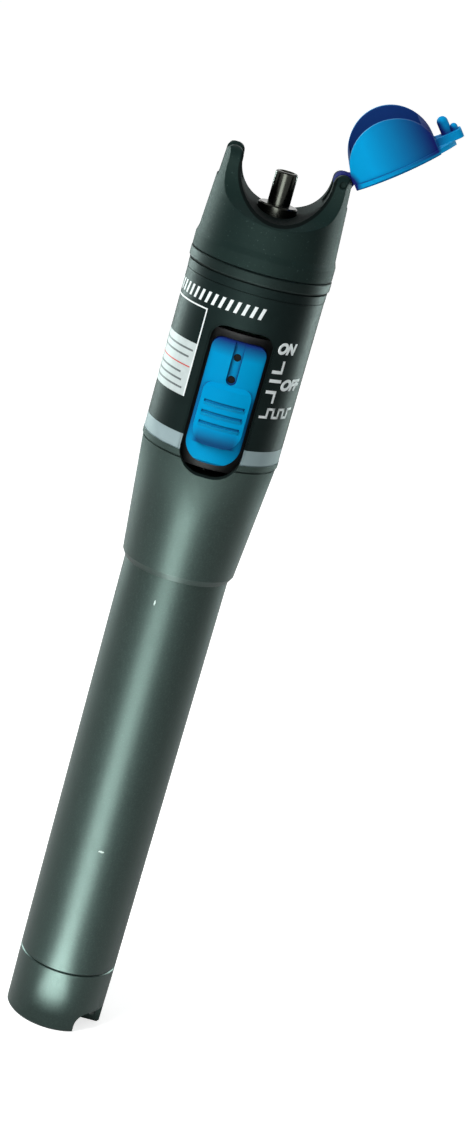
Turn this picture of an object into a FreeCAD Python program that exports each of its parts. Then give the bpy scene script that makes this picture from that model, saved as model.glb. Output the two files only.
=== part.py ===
"""Visual fault locator: a pen-shaped tester that shines red laser light into a fibre ferrule.

The pen stands on its tail end, and the origin is the centre of that end. +Z runs along the pen
from tail to head, -Y is the side of the slide switch, and +X is the side of the dust cap's hinge
and of the lanyard hole. The dust cap is drawn swung open. All sizes are millimetres and degrees.
"""
import FreeCAD, Part
import math
import os
from FreeCAD import Vector

# Clearances between pieces
THREAD_CLEARANCE = 0.05
PRESS_CLEARANCE = 0.02
HINGE_CLEARANCE = 0.05
SLIDE_CLEARANCE = 0.15
MOVING_GAP = 0.3

# Battery cells and their contacts
CELL_R = 7.1
CELL_LENGTH = 50.5
CELL_NUB_R = 2.7
CELL_NUB_HEIGHT = 1.2
CELL_EDGE = 0.5
CONTACT_THICKNESS = 0.5
CONTACT_R = 5.5
CONTACT_STEM_R = 0.6
CONTACT_STEM_HEIGHT = 5.5
SPRING_HEIGHT = 4.2
SPRING_BASE_R = 6.0
SPRING_TOP_R = 3.4
SPRING_WIRE_R = 0.4
SPRING_TURNS = 3.5
SPRING_GAP = 0.1

# Tail cap with its lanyard web between two pockets
TAIL_R = 9.3
TAIL_CAP_LENGTH = 12.5
TAIL_CHAMFER = 0.4
TAIL_FLOOR = 1.3
POCKET_HEIGHT = 4.1
POCKET_X = 4.5
POCKET_CORNER_R = 2.6
WEB_THICKNESS = 2.0
LANYARD_HOLE_R = 0.8
LANYARD_HOLE_X = 7.4
LANYARD_HOLE_Z = 1.9
SPIGOT_R = 8.25
SPIGOT_LENGTH = 6.0
SPIGOT_BORE_R = 7.4
SEAL_WIRE_R = 0.4
SEAL_GROOVE_R = 7.85
SEAL_SEAT_R = 8.72
SEAL_SEAT_DEPTH = 1.2

# Battery tube
TUBE_BOTTOM_R = 9.45
SEAM_EDGE = 0.22
TUBE_TOP_R = 9.9
TUBE_BORE_R = 7.6
TUBE_THREAD_R = 8.7
TUBE_THREAD_LENGTH = 12.0
CELL_INTO_BARREL = 17.0

# Barrel: a cone below, a printed cylinder above, a spigot for the head on top
CONE_CHAMFER = 1.2
CONE_BOTTOM_R = 10.65
CONE_LENGTH = 23.4
BARREL_R = 12.8
BARREL_WALL = 2.4
GROOVE_WIDTH = 0.4
GROOVE_DEPTH = 0.3
COLLAR_HEIGHT = 1.3
LABEL_HEIGHT = 30.7
LABEL_THICKNESS = 0.15
LABEL_RECESS = 0.2
LABEL_MARGIN = 0.15
SHOULDER_HEIGHT = 1.5
HEAD_SPIGOT_WALL = 1.0
HEAD_SPIGOT_HEIGHT = 6.9

# Switch window and slider
SLOT_WIDTH = 10.6
SLOT_HEIGHT = 27.0
SLOT_BELOW_GROOVE = 2.05
SLOT_TOP_CORNER_R = 2.2
SLOT_BOTTOM_CORNER_R = 4.3
SLOT_RIM_WIDTH = 0.35
SLOT_RIM_DEPTH = 0.3
SLIDER_WIDTH = 10.0
SLIDER_HEIGHT = 22.8
SLIDER_TOP_CORNER_R = 1.8
SLIDER_BOTTOM_CORNER_R = 3.9
SLIDER_LOW_DROP = 0.9
SLIDER_PAD_RISE = 0.85
SLIDER_EDGE = 0.4
PAD_WIDTH = 8.9
PAD_TOP_Z = 3.4
PAD_BOTTOM_Z = -8.2
PAD_TOP_CORNER_R = 1.7
PAD_BOTTOM_CORNER_R = 3.7
PAD_STEP = 0.6
PAD_STEP_LENGTH = 0.8
PAD_PEAK_Z = -4.4
GRIP_COUNT = 3
GRIP_TOP_Z = 0.0
GRIP_PITCH = 1.9
GRIP_WIDTH = 7.4
GRIP_GROOVE_R = 0.25
TRACK_WIDTH = 1.9
TRACK_DEPTH = 0.6
PIN_R = 0.68
PIN_PITCH = 4.1
PIN_TOP_Z = 8.6
CARRIER_WIDTH = 13.8
CARRIER_OVERLAP = 1.3
CARRIER_THICKNESS = 1.15
FORK_WIDTH = 3.0
FORK_DEPTH = 1.9
FORK_ARM = 1.0

# Slide switch and driver board
SWITCH_WIDTH = 6.0
SWITCH_HEIGHT = 12.6
SWITCH_DEPTH = 4.5
ACTUATOR_WIDTH = 1.6
ACTUATOR_HEIGHT = 1.8
ACTUATOR_ENGAGE = 1.4
SLIDER_END_GAP = 0.1
BOARD_THICKNESS = 1.0
BOARD_BACK_Y = -0.3
BOARD_WIDTH = 16.6
BOARD_BELOW_HOUSING = 1.7
BOARD_LIFT = 0.6
SCREW_SHANK_R = 0.8
SCREW_HEAD_R = 1.5
SCREW_HEAD_HEIGHT = 0.8
SCREW_LENGTH = 3.4
SCREW_X = 5.9
SCREW_Z = 2.6
GROUND_STRIP_WIDTH = 3.0
GROUND_STRIP_THICKNESS = 0.3
GROUND_STRIP_DROP = 5.0
GROUND_STRIP_Z = 22.0

# Chassis that carries the board and steadies the laser
CHASSIS_FLOOR = 2.0
CHASSIS_BELOW_TOP = 1.4
CHASSIS_RING_HEIGHT = 3.0
RAIL_GRIP = 0.7
RAIL_INSET = 0.4
RAIL_HALF_Y = 2.2
SCREW_BLOCK_DEPTH = 3.2
SCREW_BLOCK_HEIGHT = 5.2
SCREW_BLOCK_WIDTH = 3.6

# Trim ring
RING_HEIGHT = 2.2
RING_PROUD = 0.25
RING_BEVEL = 0.55
RING_TOP_BEVEL = 0.15

# Head shell: a tapered cup with a U channel between two prongs
HEAD_COLLAR_INSET = 0.08
HEAD_COLLAR_HEIGHT = 2.6
HEAD_COLLAR_SLOPE = 1.1
HEAD_EDGE = 0.3
HEAD_BODY_INSET = 0.32
HEAD_TAPER = 0.95
HEAD_HEIGHT = 19.3
PRONG_THICKNESS = 3.45
CHANNEL_CENTRE_DROP = 2.1
CHANNEL_FLARE = 0.5
CHANNEL_FLARE_DEPTH = 0.9
HEAD_FLOOR = 2.8
EAR_HALF_WIDTH = 5.3
EAR_CORNER_R = 2.4
EAR_SLOPE_Z = 2.6
EAR_BLEND_WIDTH = 3.6
EAR_BLEND_HEIGHT = 6.4
EAR_SLOT_WIDTH = 5.0
EAR_SLOT_DEPTH = 5.9

# Ferrule port
FLANGE_R = 3.6
FLANGE_THICKNESS = 2.2
FLANGE_SINK = 0.3
FLANGE_EDGE = 0.25
STEM_R = 2.9
STEM_INTO_HOUSING = 4.2
HOLDER_R = 2.05
HOLDER_HEIGHT = 5.95
HOLDER_LIP = 0.4
HOLDER_LIP_BORE_R = 1.42
LIGHT_BORE_R = 0.9
SLEEVE_R = 1.6
SLEEVE_BORE_R = 1.25
SLEEVE_LENGTH = 8.6
SLEEVE_SLIT = 0.4

# Laser module
HOUSING_R = 4.5
HOUSING_LENGTH = 15.2
HOUSING_LIGHT_R = 2.4
LENS_R = 2.8
LENS_RIM = 1.0
LENS_DOME_R = 2.2
LENS_DOME_HEIGHT = 1.1
RETAINER_THICKNESS = 1.2
RETAINER_SLOT = 0.6
DIODE_FLANGE_R = 2.8
DIODE_FLANGE_THICKNESS = 1.2
DIODE_CAN_R = 2.05
DIODE_CAN_HEIGHT = 2.3
DIODE_SEAT = 0.8
DIODE_LEAD_R = 0.22
DIODE_LEAD_LENGTH = 5.0
DIODE_LEAD_CIRCLE_R = 1.27

# Dust cap
HINGE_DROP = 1.6
HINGE_PIN_R = 0.6
HINGE_PIN_LENGTH = 9.4
EAR_R = 1.7
CAP_OPEN_ANGLE = 141.0
CAP_PLATE_THICKNESS = 1.0
CAP_PLATE_LIFT = 1.4
CAP_PLATE_PROUD = 0.7
CAP_DOME = 0.35
PLUG_PROUD = 0.3
PLUG_WALL = 1.3
TONGUE_LENGTH = 4.9
TONGUE_THICKNESS = 1.5
TONGUE_END_R = 1.1
KNOB_R = 1.0
KNOB_HEIGHT = 4.0
KNOB_FROM_HINGE = 20.2
CATCH_R = 0.7
CATCH_HEIGHT = 2.1
CATCH_STEP = 1.5

# Small parts on the board
CHIP_WIDTH = 4.0
CHIP_HEIGHT = 5.0
CHIP_DEPTH = 1.4
CHIP_LIFT = 0.1
CHIP_PIN_WIDTH = 0.4
CHIP_PIN_REACH = 0.9
CHIP_PIN_PITCH = 1.27
CHIP_PINS_A_SIDE = 4
CAN_R = 2.0
CAN_LENGTH = 5.4
CAN_CRIMP_R = 1.75
CAN_CRIMP_FROM = 1.1
CAN_CRIMP_WIDTH = 0.5
CAN_ABOVE_CHIP = 6.4
TRIMMER_SIDE = 3.4
TRIMMER_DEPTH = 1.6
TRIMMER_DIAL_R = 1.2
TRIMMER_DIAL_RISE = 0.3
TRIMMER_CROSS = 0.4
TRIMMER_X = 4.6

# Radii that follow from the sizes above
barrel_bore_r = BARREL_R - BARREL_WALL
head_spigot_r = barrel_bore_r + HEAD_SPIGOT_WALL
ring_r = BARREL_R + RING_PROUD
head_collar_r = ring_r - HEAD_COLLAR_INSET
head_body_r = head_collar_r - HEAD_BODY_INSET
head_top_r = head_body_r - HEAD_TAPER
channel_r = head_top_r - PRONG_THICKNESS
hinge_x = channel_r + EAR_R
cap_plate_r = head_top_r + CAP_PLATE_PROUD
plug_outer_r = head_top_r + PLUG_PROUD

# Heights that follow from the sizes above
tail_floor_z = POCKET_HEIGHT + TAIL_FLOOR
spring_base_z = tail_floor_z + CONTACT_THICKNESS
cell_bottom_z = spring_base_z + SPRING_HEIGHT + SPRING_GAP
cells_top_z = cell_bottom_z + 2 * CELL_LENGTH
seat_z = cells_top_z + CONTACT_THICKNESS
tube_top_z = cells_top_z - CELL_INTO_BARREL
groove_z = tube_top_z + CONE_LENGTH
label_bottom_z = groove_z + COLLAR_HEIGHT
label_top_z = label_bottom_z + LABEL_HEIGHT
barrel_top_z = label_top_z + SHOULDER_HEIGHT
head_bottom_z = barrel_top_z + RING_HEIGHT
head_top_z = head_bottom_z + HEAD_HEIGHT
hinge_z = head_top_z - HINGE_DROP
channel_centre_z = head_top_z - CHANNEL_CENTRE_DROP
channel_bottom_z = channel_centre_z - channel_r
housing_top_z = channel_bottom_z - HEAD_FLOOR
housing_bottom_z = housing_top_z - HOUSING_LENGTH
flange_bottom_z = channel_bottom_z - FLANGE_SINK
flange_top_z = flange_bottom_z + FLANGE_THICKNESS
holder_top_z = flange_top_z + HOLDER_HEIGHT
sleeve_top_z = holder_top_z - HOLDER_LIP - PRESS_CLEARANCE
slot_bottom_z = groove_z - SLOT_BELOW_GROOVE
slot_centre_z = slot_bottom_z + SLOT_HEIGHT / 2
label_r = BARREL_R - LABEL_RECESS + LABEL_THICKNESS
carrier_r = barrel_bore_r - SLIDE_CLEARANCE
board_front_y = BOARD_BACK_Y - BOARD_THICKNESS
board_bottom_z = seat_z + CHASSIS_FLOOR + BOARD_LIFT
board_top_z = housing_bottom_z - BOARD_BELOW_HOUSING
board_middle_z = (board_bottom_z + board_top_z) / 2
switch_top_y = board_front_y - SWITCH_DEPTH
chassis_r = barrel_bore_r - 2 * THREAD_CLEARANCE
chassis_top_z = barrel_top_z - CHASSIS_BELOW_TOP
rail_inner_x = BOARD_WIDTH / 2 - RAIL_GRIP
rail_outer_x = chassis_r - RAIL_INSET
carrier_height = SLIDER_HEIGHT + 2 * CARRIER_OVERLAP
switch_travel = (SLOT_HEIGHT - SLIDER_HEIGHT) / 2 - SLIDER_END_GAP

ORIGIN = Vector(0, 0, 0)
AXIS_X = Vector(1, 0, 0)
AXIS_Y = Vector(0, 1, 0)
AXIS_Z = Vector(0, 0, 1)
FAR = 60.0


def cylinder(radius, bottom, top, x=0.0, y=0.0):
    return Part.makeCylinder(radius, top - bottom, Vector(x, y, bottom))


def tube(outer, inner, bottom, top):
    return cylinder(outer, bottom, top).cut(cylinder(inner, bottom, top))


def box(x_low, x_high, y_low, y_high, z_low, z_high):
    corner = Vector(x_low, y_low, z_low)
    return Part.makeBox(x_high - x_low, y_high - y_low, z_high - z_low, corner)


def rod_y(radius, y_low, y_high, x, z):
    return Part.makeCylinder(radius, y_high - y_low, Vector(x, y_low, z), AXIS_Y)


def wire_through(start, steps, place):
    """A closed wire. Each step is the next point, or a middle and an end point of an arc."""
    edges = []
    here = place(*start)
    for step in steps:
        if isinstance(step[0], tuple):
            middle = place(*step[0])
            there = place(*step[1])
            edges.append(Part.Arc(here, middle, there).toShape())
        else:
            there = place(*step)
            edges.append(Part.LineSegment(here, there).toShape())
        here = there
    edges.append(Part.LineSegment(here, place(*start)).toShape())
    return Part.Wire(edges)


def turned(start, steps):
    """A solid of revolution about the pen's axis from (radius, height) points."""
    wire = wire_through(start, steps, lambda r, z: Vector(r, 0, z))
    return Part.Face(wire).revolve(ORIGIN, AXIS_Z, 360)


def corner_arc(centre_a, centre_b, radius, start_angle, end_angle):
    """The middle and the end point of a corner arc, for wire_through."""
    points = []
    for angle in ((start_angle + end_angle) / 2, end_angle):
        turn = math.radians(angle)
        points.append((centre_a + radius * math.cos(turn), centre_b + radius * math.sin(turn)))
    return tuple(points)


def rounded_panel(width, bottom, top, bottom_r, top_r, y_low, y_high):
    """A prism along Y whose outline is a rectangle with round corners."""
    half = width / 2
    steps = [
        (half - bottom_r, bottom),
        corner_arc(half - bottom_r, bottom + bottom_r, bottom_r, -90, 0),
        (half, top - top_r),
        corner_arc(half - top_r, top - top_r, top_r, 0, 90),
        (-half + top_r, top),
        corner_arc(-half + top_r, top - top_r, top_r, 90, 180),
        (-half, bottom + bottom_r),
        corner_arc(-half + bottom_r, bottom + bottom_r, bottom_r, 180, 270),
    ]
    wire = wire_through((-half + bottom_r, bottom), steps, lambda x, z: Vector(x, y_low, z))
    return Part.Face(wire).extrude(Vector(0, y_high - y_low, 0))


def prism_x(start, steps, x_low, x_high):
    """A prism along X from (y, z) points."""
    wire = wire_through(start, steps, lambda y, z: Vector(x_low, y, z))
    return Part.Face(wire).extrude(Vector(x_high - x_low, 0, 0))


def prism_y(start, steps, y_low, y_high):
    """A prism along Y from (x, z) points."""
    wire = wire_through(start, steps, lambda x, z: Vector(x, y_low, z))
    return Part.Face(wire).extrude(Vector(0, y_high - y_low, 0))


# ---- Tail end ----------------------------------------------------------------------------

def tail_cap():
    shoulder = TAIL_CAP_LENGTH
    groove_top = shoulder + SEAL_SEAT_DEPTH
    spigot_top = shoulder + SPIGOT_LENGTH
    body = turned((0, 0), [
        (TAIL_R - TAIL_CHAMFER, 0),
        (TAIL_R, TAIL_CHAMFER),
        (TUBE_BOTTOM_R, shoulder - SEAM_EDGE),
        (TUBE_BOTTOM_R - SEAM_EDGE, shoulder),
        (SEAL_GROOVE_R, shoulder),
        (SEAL_GROOVE_R, groove_top),
        (SPIGOT_R, groove_top),
        (SPIGOT_R, spigot_top),
        (SPIGOT_BORE_R, spigot_top),
        (SPIGOT_BORE_R, tail_floor_z),
        (0, tail_floor_z),
    ])
    for side in (-1, 1):
        inner = side * WEB_THICKNESS / 2
        outer = side * 2 * TAIL_R
        pocket = prism_y((FAR, -1.0), [
            (FAR, POCKET_HEIGHT),
            (POCKET_X + POCKET_CORNER_R, POCKET_HEIGHT),
            corner_arc(POCKET_X + POCKET_CORNER_R, POCKET_HEIGHT - POCKET_CORNER_R,
                       POCKET_CORNER_R, 90, 180),
            (POCKET_X, -1.0),
        ], min(inner, outer), max(inner, outer))
        body = body.cut(pocket)
    hole = rod_y(LANYARD_HOLE_R, -WEB_THICKNESS, WEB_THICKNESS, LANYARD_HOLE_X, LANYARD_HOLE_Z)
    return body.cut(hole)


def tail_seal():
    centre_r = SEAL_GROOVE_R + PRESS_CLEARANCE + SEAL_WIRE_R
    centre_z = TAIL_CAP_LENGTH + SEAL_SEAT_DEPTH / 2
    return Part.makeTorus(centre_r, SEAL_WIRE_R, Vector(0, 0, centre_z))


def spring_plate():
    return cylinder(SPRING_BASE_R + 2 * SPRING_WIRE_R, tail_floor_z, spring_base_z)


def battery_spring():
    """A cone of wire turns, closed flat at the bottom by its first turn."""
    rise = SPRING_HEIGHT - 2 * SPRING_WIRE_R
    pitch = rise / SPRING_TURNS
    slope = math.degrees(math.atan((SPRING_TOP_R - SPRING_BASE_R) / rise))
    path = Part.makeHelix(pitch, rise, SPRING_BASE_R, slope)
    path.translate(Vector(0, 0, spring_base_z + SPRING_WIRE_R))
    start = path.Edges[0].valueAt(path.Edges[0].FirstParameter)
    along = path.Edges[0].tangentAt(path.Edges[0].FirstParameter)
    section = Part.Wire(Part.makeCircle(SPRING_WIRE_R, start, along))
    return Part.Wire(path.Edges).makePipeShell([section], True, True)


def battery_cell(bottom):
    top = bottom + CELL_LENGTH - CELL_NUB_HEIGHT
    return turned((0, bottom), [
        (CELL_R - CELL_EDGE, bottom),
        (CELL_R, bottom + CELL_EDGE),
        (CELL_R, top - CELL_EDGE),
        (CELL_R - CELL_EDGE, top),
        (CELL_NUB_R, top),
        (CELL_NUB_R, top + CELL_NUB_HEIGHT),
        (0, top + CELL_NUB_HEIGHT),
    ])


def battery_tube():
    bottom = TAIL_CAP_LENGTH
    seal_top = bottom + SEAL_SEAT_DEPTH + MOVING_GAP
    thread_top = bottom + SPIGOT_LENGTH + MOVING_GAP
    thread_r = SPIGOT_R + THREAD_CLEARANCE
    top = tube_top_z + TUBE_THREAD_LENGTH
    return turned((SEAL_SEAT_R, bottom), [
        (TUBE_BOTTOM_R - SEAM_EDGE, bottom),
        (TUBE_BOTTOM_R, bottom + SEAM_EDGE),
        (TUBE_TOP_R, tube_top_z),
        (TUBE_THREAD_R, tube_top_z),
        (TUBE_THREAD_R, top),
        (TUBE_BORE_R, top),
        (TUBE_BORE_R, thread_top),
        (thread_r, thread_top),
        (thread_r, seal_top),
        (SEAL_SEAT_R, seal_top),
    ])


# ---- Barrel with the switch window --------------------------------------------------------

def slot_panel(margin, y_low, y_high):
    return rounded_panel(SLOT_WIDTH + 2 * margin, slot_bottom_z - margin,
                         slot_bottom_z + SLOT_HEIGHT + margin,
                         SLOT_BOTTOM_CORNER_R + margin, SLOT_TOP_CORNER_R + margin,
                         y_low, y_high)


def barrel():
    thread_r = TUBE_THREAD_R + THREAD_CLEARANCE
    thread_top = tube_top_z + TUBE_THREAD_LENGTH
    label_seat_r = BARREL_R - LABEL_RECESS
    spigot_top = barrel_top_z + HEAD_SPIGOT_HEIGHT
    body = turned((thread_r, tube_top_z), [
        (TUBE_TOP_R + THREAD_CLEARANCE, tube_top_z),
        (CONE_BOTTOM_R, tube_top_z + CONE_CHAMFER),
        (BARREL_R - GROOVE_WIDTH / 2, groove_z - GROOVE_WIDTH / 2),
        (BARREL_R - GROOVE_DEPTH - GROOVE_WIDTH / 2, groove_z - GROOVE_WIDTH / 2),
        (BARREL_R - GROOVE_DEPTH - GROOVE_WIDTH / 2, groove_z + GROOVE_WIDTH / 2),
        (BARREL_R, groove_z + GROOVE_WIDTH / 2),
        (BARREL_R, label_bottom_z),
        (label_seat_r, label_bottom_z),
        (label_seat_r, label_top_z),
        (BARREL_R, label_top_z),
        (BARREL_R, barrel_top_z),
        (head_spigot_r, barrel_top_z),
        (head_spigot_r, spigot_top),
        (barrel_bore_r, spigot_top),
        (barrel_bore_r, seat_z),
        (TUBE_BORE_R, seat_z),
        (TUBE_BORE_R, thread_top),
        (thread_r, thread_top),
    ])
    body = body.cut(slot_panel(0.0, -FAR, -barrel_bore_r / 2))
    rim_depth_r = label_seat_r - SLOT_RIM_DEPTH
    rim = slot_panel(SLOT_RIM_WIDTH, -FAR, -barrel_bore_r / 2)
    rim = rim.cut(cylinder(rim_depth_r, 0, 2 * head_top_z))
    return body.cut(rim)


def label_wrap():
    seat_r = BARREL_R - LABEL_RECESS
    film = tube(label_r, seat_r, label_bottom_z + LABEL_MARGIN, label_top_z - LABEL_MARGIN)
    return film.cut(slot_panel(2 * SLOT_RIM_WIDTH, -FAR, -barrel_bore_r / 2))


def trim_ring():
    return turned((head_spigot_r + THREAD_CLEARANCE, barrel_top_z), [
        (ring_r - RING_BEVEL, barrel_top_z),
        (ring_r, barrel_top_z + RING_BEVEL),
        (ring_r, head_bottom_z - RING_TOP_BEVEL),
        (ring_r - RING_TOP_BEVEL, head_bottom_z),
        (head_spigot_r + THREAD_CLEARANCE, head_bottom_z),
    ])


# ---- Slider --------------------------------------------------------------------------------

def slider_base():
    """The slider's low plate, with its outer edge eased at both ends."""
    low_r = label_r - SLIDER_LOW_DROP
    bottom = slot_centre_z - SLIDER_HEIGHT / 2
    top = slot_centre_z + SLIDER_HEIGHT / 2
    plate = turned((carrier_r, bottom), [
        (low_r - SLIDER_EDGE, bottom),
        (low_r, bottom + SLIDER_EDGE),
        (low_r, top - SLIDER_EDGE),
        (low_r - SLIDER_EDGE, top),
        (carrier_r, top),
    ])
    return plate.common(rounded_panel(SLIDER_WIDTH, bottom, top, SLIDER_BOTTOM_CORNER_R,
                                      SLIDER_TOP_CORNER_R, -FAR, 0))


def pad_radius(offset):
    """The thumb pad's outer radius at a height above the slider's middle, on its long slope."""
    start_r = label_r - SLIDER_LOW_DROP + PAD_STEP
    share = (PAD_TOP_Z - PAD_STEP_LENGTH - offset) / (PAD_TOP_Z - PAD_STEP_LENGTH - PAD_PEAK_Z)
    return start_r + share * (label_r + SLIDER_PAD_RISE - start_r)


def thumb_pad():
    """The thumb pad: a short step, a long slope up to its peak and a round nose below."""
    low_r = label_r - SLIDER_LOW_DROP
    peak_r = pad_radius(PAD_PEAK_Z)
    top = slot_centre_z + PAD_TOP_Z
    bottom = slot_centre_z + PAD_BOTTOM_Z
    peak = slot_centre_z + PAD_PEAK_Z
    nose = (low_r + 0.75 * (peak_r - low_r), bottom + 0.3 * (peak - bottom))
    pad = turned((carrier_r, bottom), [
        (low_r, bottom),
        (nose, (peak_r, peak)),
        (low_r + PAD_STEP, top - PAD_STEP_LENGTH),
        (low_r, top),
        (carrier_r, top),
    ])
    return pad.common(rounded_panel(PAD_WIDTH, bottom, top, PAD_BOTTOM_CORNER_R, PAD_TOP_CORNER_R,
                                    -FAR, 0))


def pin_heights():
    upper = slot_centre_z + PIN_TOP_Z
    return [upper, upper - PIN_PITCH]


def slider_button():
    middle = slot_centre_z
    button = slider_base().fuse(thumb_pad())
    for index in range(GRIP_COUNT):
        offset = GRIP_TOP_Z - index * GRIP_PITCH
        height = middle + offset
        groove = Part.makeTorus(pad_radius(offset), GRIP_GROOVE_R, Vector(0, 0, height))
        button = button.cut(groove.common(box(-GRIP_WIDTH / 2, GRIP_WIDTH / 2, -FAR, 0,
                                              height - 1, height + 1)))
    track_end = pin_heights()[-1]
    track = box(-TRACK_WIDTH / 2, TRACK_WIDTH / 2, -FAR, 0, track_end, head_top_z)
    track = track.fuse(rod_y(TRACK_WIDTH / 2, -FAR, 0, 0, track_end))
    track_floor_r = label_r - SLIDER_LOW_DROP - TRACK_DEPTH
    button = button.cut(track.cut(cylinder(track_floor_r, 0, 2 * head_top_z)))
    for height in pin_heights():
        button = button.cut(rod_y(PIN_R + PRESS_CLEARANCE, -FAR, 0, 0, height))
    return button


def slider_pins():
    tip_y = -(label_r - SLIDER_LOW_DROP - TRACK_DEPTH)
    foot_y = -(carrier_r - CARRIER_THICKNESS)
    pins = [rod_y(PIN_R, tip_y, foot_y, 0, height) for height in pin_heights()]
    return Part.makeCompound(pins)


def slider_carrier():
    inner_r = carrier_r - CARRIER_THICKNESS
    middle = slot_centre_z
    low = middle - carrier_height / 2
    high = middle + carrier_height / 2
    plate = tube(carrier_r, inner_r, low, high)
    plate = plate.common(box(-CARRIER_WIDTH / 2, CARRIER_WIDTH / 2, -FAR, 0, low, high))
    reach = ACTUATOR_HEIGHT / 2 + PRESS_CLEARANCE
    for side in (-1, 1):
        near = middle + side * reach
        far = middle + side * (reach + FORK_ARM)
        arm = box(-FORK_WIDTH / 2, FORK_WIDTH / 2, -inner_r - THREAD_CLEARANCE,
                  -inner_r + FORK_DEPTH, min(near, far), max(near, far))
        plate = plate.fuse(arm)
    for height in pin_heights():
        plate = plate.cut(rod_y(PIN_R + PRESS_CLEARANCE, -FAR, 0, 0, height))
    return plate.removeSplitter()


def slide_switch_actuator():
    """The knob of the slide switch, held in the carrier's fork."""
    outer_y = -(carrier_r - CARRIER_THICKNESS) + SLIDE_CLEARANCE
    half_x = ACTUATOR_WIDTH / 2
    half_z = ACTUATOR_HEIGHT / 2
    return box(-half_x, half_x, outer_y, switch_top_y + ACTUATOR_ENGAGE,
               slot_centre_z - half_z, slot_centre_z + half_z)


def slide_switch_body():
    half_x = SWITCH_WIDTH / 2
    half_z = SWITCH_HEIGHT / 2
    body = box(-half_x, half_x, switch_top_y, board_front_y,
               slot_centre_z - half_z, slot_centre_z + half_z)
    slot_half_x = ACTUATOR_WIDTH / 2 + MOVING_GAP
    slot_half_z = ACTUATOR_HEIGHT / 2 + switch_travel + MOVING_GAP
    slot = box(-slot_half_x, slot_half_x, switch_top_y, switch_top_y + ACTUATOR_ENGAGE + MOVING_GAP,
               slot_centre_z - slot_half_z, slot_centre_z + slot_half_z)
    return body.cut(slot)


# ---- Inside: chassis, board and contacts ----------------------------------------------------

def screw_places():
    return [(side * SCREW_X, board_bottom_z + SCREW_Z) for side in (-1, 1)]


def chassis():
    floor_top = seat_z + CHASSIS_FLOOR
    top = chassis_top_z
    ring_bottom = top - CHASSIS_RING_HEIGHT
    frame = cylinder(chassis_r, seat_z, floor_top)
    frame = frame.cut(cylinder(CONTACT_STEM_R + THREAD_CLEARANCE, seat_z, floor_top,
                               0, contact_stem_y()))
    ring = tube(chassis_r, HOUSING_R + THREAD_CLEARANCE, ring_bottom, top)
    frame = frame.fuse(ring)
    groove_half = BOARD_WIDTH / 2 + THREAD_CLEARANCE
    for side in (-1, 1):
        edges = sorted([side * rail_inner_x, side * rail_outer_x])
        frame = frame.fuse(box(edges[0], edges[1], -RAIL_HALF_Y, RAIL_HALF_Y, floor_top, ring_bottom))
        block_edges = (side * SCREW_X - SCREW_BLOCK_WIDTH / 2, side * SCREW_X + SCREW_BLOCK_WIDTH / 2)
        block_top = board_bottom_z + SCREW_BLOCK_HEIGHT
        frame = frame.fuse(box(block_edges[0], block_edges[1], BOARD_BACK_Y,
                               BOARD_BACK_Y + SCREW_BLOCK_DEPTH, floor_top, block_top))
    frame = frame.cut(box(-groove_half, groove_half, board_front_y - THREAD_CLEARANCE, BOARD_BACK_Y,
                          board_bottom_z - THREAD_CLEARANCE, board_top_z + MOVING_GAP))
    for x, z in screw_places():
        frame = frame.cut(rod_y(SCREW_SHANK_R + PRESS_CLEARANCE, board_front_y,
                                board_front_y + SCREW_LENGTH + MOVING_GAP, x, z))
    return frame.removeSplitter()


def contact_stem_y():
    return BOARD_BACK_Y + CONTACT_STEM_R + THREAD_CLEARANCE


def front_contact():
    disc = cylinder(CONTACT_R, cells_top_z, seat_z)
    stem = cylinder(CONTACT_STEM_R, cells_top_z, seat_z + CONTACT_STEM_HEIGHT, 0, contact_stem_y())
    return disc.fuse(stem)


def driver_board():
    board = box(-BOARD_WIDTH / 2, BOARD_WIDTH / 2, board_front_y, BOARD_BACK_Y,
                board_bottom_z, board_top_z)
    for x, z in screw_places():
        board = board.cut(rod_y(SCREW_SHANK_R + THREAD_CLEARANCE, -FAR, FAR, x, z))
    return board


def board_screws():
    screws = []
    for x, z in screw_places():
        head = rod_y(SCREW_HEAD_R, board_front_y - SCREW_HEAD_HEIGHT, board_front_y, x, z)
        shank = rod_y(SCREW_SHANK_R, board_front_y, board_front_y + SCREW_LENGTH, x, z)
        screws.append(head.fuse(shank))
    return Part.makeCompound(screws)


def board_chip():
    """The driver chip and its row of pins on each side, behind the board."""
    half_x = CHIP_WIDTH / 2
    half_z = CHIP_HEIGHT / 2
    pin_thickness = CHIP_LIFT + CHIP_PIN_WIDTH / 2
    body_y = BOARD_BACK_Y + CHIP_LIFT
    body = box(-half_x, half_x, body_y, body_y + CHIP_DEPTH, board_middle_z - half_z, board_middle_z + half_z)
    for index in range(CHIP_PINS_A_SIDE):
        offset = (index - (CHIP_PINS_A_SIDE - 1) / 2) * CHIP_PIN_PITCH
        pin_low = board_middle_z + offset - CHIP_PIN_WIDTH / 2
        body = body.fuse(box(-half_x - CHIP_PIN_REACH, half_x + CHIP_PIN_REACH, BOARD_BACK_Y,
                             BOARD_BACK_Y + pin_thickness, pin_low, pin_low + CHIP_PIN_WIDTH))
    return body


def board_capacitor():
    """A can capacitor with a crimped waist, standing on the back of the board."""
    z = board_middle_z + CAN_ABOVE_CHIP
    crimp_y = BOARD_BACK_Y + CAN_CRIMP_FROM
    can = rod_y(CAN_R, BOARD_BACK_Y, BOARD_BACK_Y + CAN_LENGTH, 0, z)
    crimp = rod_y(2 * CAN_R, crimp_y, crimp_y + CAN_CRIMP_WIDTH, 0, z)
    return can.cut(crimp.cut(rod_y(CAN_CRIMP_R, crimp_y, crimp_y + CAN_CRIMP_WIDTH, 0, z)))


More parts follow.
